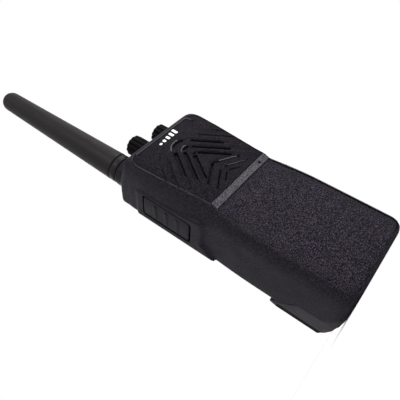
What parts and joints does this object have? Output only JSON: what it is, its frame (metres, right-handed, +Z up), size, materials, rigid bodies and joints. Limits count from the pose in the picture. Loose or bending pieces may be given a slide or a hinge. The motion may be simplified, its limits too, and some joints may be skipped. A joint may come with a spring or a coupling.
{
  "type": "portable radio",
  "caption": "Handheld two-way radio with a stub antenna, fluted top knobs, chevron speaker grille, side talk key and a swing-out battery.",
  "frame": {"origin": "bottom centre of the radio's bounding box, on the floor it stands on", "axes": "+Z up towards the antenna tip, -Y out of the speaker face, +X to the right of someone facing the speaker"},
  "size_m": [0.0598, 0.0384, 0.243],
  "materials": {
    "black_shell": "fine grained moulded plastic",
    "grained_panel": "coarse spark grain",
    "grey_trim": "matte, fine grain",
    "smooth_black": "satin",
    "black_rubber": "matte",
    "antenna_rubber": "matte",
    "cell_wrap": "shrink wrap",
    "green_board": "solder mask",
    "cast_aluminium": "as cast",
    "bright_steel": "plated",
    "gold_contact": "gold plated",
    "speaker_paper": "coated paper",
    "light_pipe": "clear red"
  },
  "bodies": {
    "radio": {"front_housing": "black_shell", "speaker_grille": "grained_panel", "label_plate": "smooth_black", "divider_strip": "grey_trim", "front_panel": "grained_panel", "speaker_mesh": "black_rubber", "speaker_frame": "bright_steel", "speaker_cone": "speaker_paper", "microphone": "bright_steel", "main_board": "green_board", "shield_can": "bright_steel", "chassis": "cast_aluminium", "main_seal": "black_rubber", "chassis_screw_1": "bright_steel", "chassis_screw_2": "bright_steel", "chassis_screw_3": "bright_steel", "chassis_screw_4": "bright_steel", "talk_switch": "bright_steel", "contact_block": "gold_contact", "channel_control": "smooth_black", "volume_control": "smooth_black", "antenna_socket": "gold_contact", "talk_seal": "black_rubber", "accessory_socket": "smooth_black", "status_light": "light_pipe"},
    "channel_knob": {"channel_knob": "black_rubber", "channel_shaft": "bright_steel"},
    "volume_knob": {"volume_knob": "black_rubber", "volume_shaft": "bright_steel"},
    "antenna": {"antenna_ring": "smooth_black", "antenna_stud": "gold_contact", "antenna_sheath": "antenna_rubber"},
    "talk_key": {"talk_key": "smooth_black"},
    "accessory_cover": {"accessory_cover": "black_rubber"},
    "battery": {"battery_case": "black_shell", "battery_lid": "black_shell", "battery_terminal_1": "gold_contact", "battery_terminal_2": "gold_contact", "battery_terminal_3": "gold_contact", "battery_cell_left": "cell_wrap", "battery_cell_right": "cell_wrap", "foot_strip": "black_rubber"},
    "battery_latch": {"battery_latch": "black_rubber"}
  },
  "joints": [
    {"name": "channel_turn", "type": "hinge", "parent": "radio", "child": "channel_knob", "pos_m": [-0.0035, -0.00375, 0.137], "axis": [0, 0, -1], "range_deg": [0, 337.5]},
    {"name": "volume_turn", "type": "hinge", "parent": "radio", "child": "volume_knob", "pos_m": [0.0134, -0.00375, 0.137], "axis": [0, 0, -1], "range_deg": [0, 270]},
    {"name": "antenna_unscrew", "type": "hinge", "parent": "radio", "child": "antenna", "pos_m": [-0.0189, 0.00155, 0.139], "axis": [0, 0, 1], "range_deg": [0, 360]},
    {"name": "talk_press", "type": "slide", "parent": "radio", "child": "talk_key", "axis": [1, 0, 0], "range_m": [0, 0.001], "stiffness_N_per_m": 1500, "springref_m": -0.001},
    {"name": "cover_swing", "type": "hinge", "parent": "radio", "child": "accessory_cover", "pos_m": [0.0294, 0.00545, 0.101], "axis": [0, 0, 1], "range_deg": [0, 120]},
    {"name": "battery_swing", "type": "hinge", "parent": "radio", "child": "battery", "pos_m": [0, 0.01175, 0.107], "axis": [1, 0, 0], "range_deg": [0, 22]},
    {"name": "latch_slide", "type": "slide", "parent": "battery", "child": "battery_latch", "axis": [0, 1, 0], "range_m": [0, 0.0015], "stiffness_N_per_m": 800, "springref_m": -0.001}
  ]
}
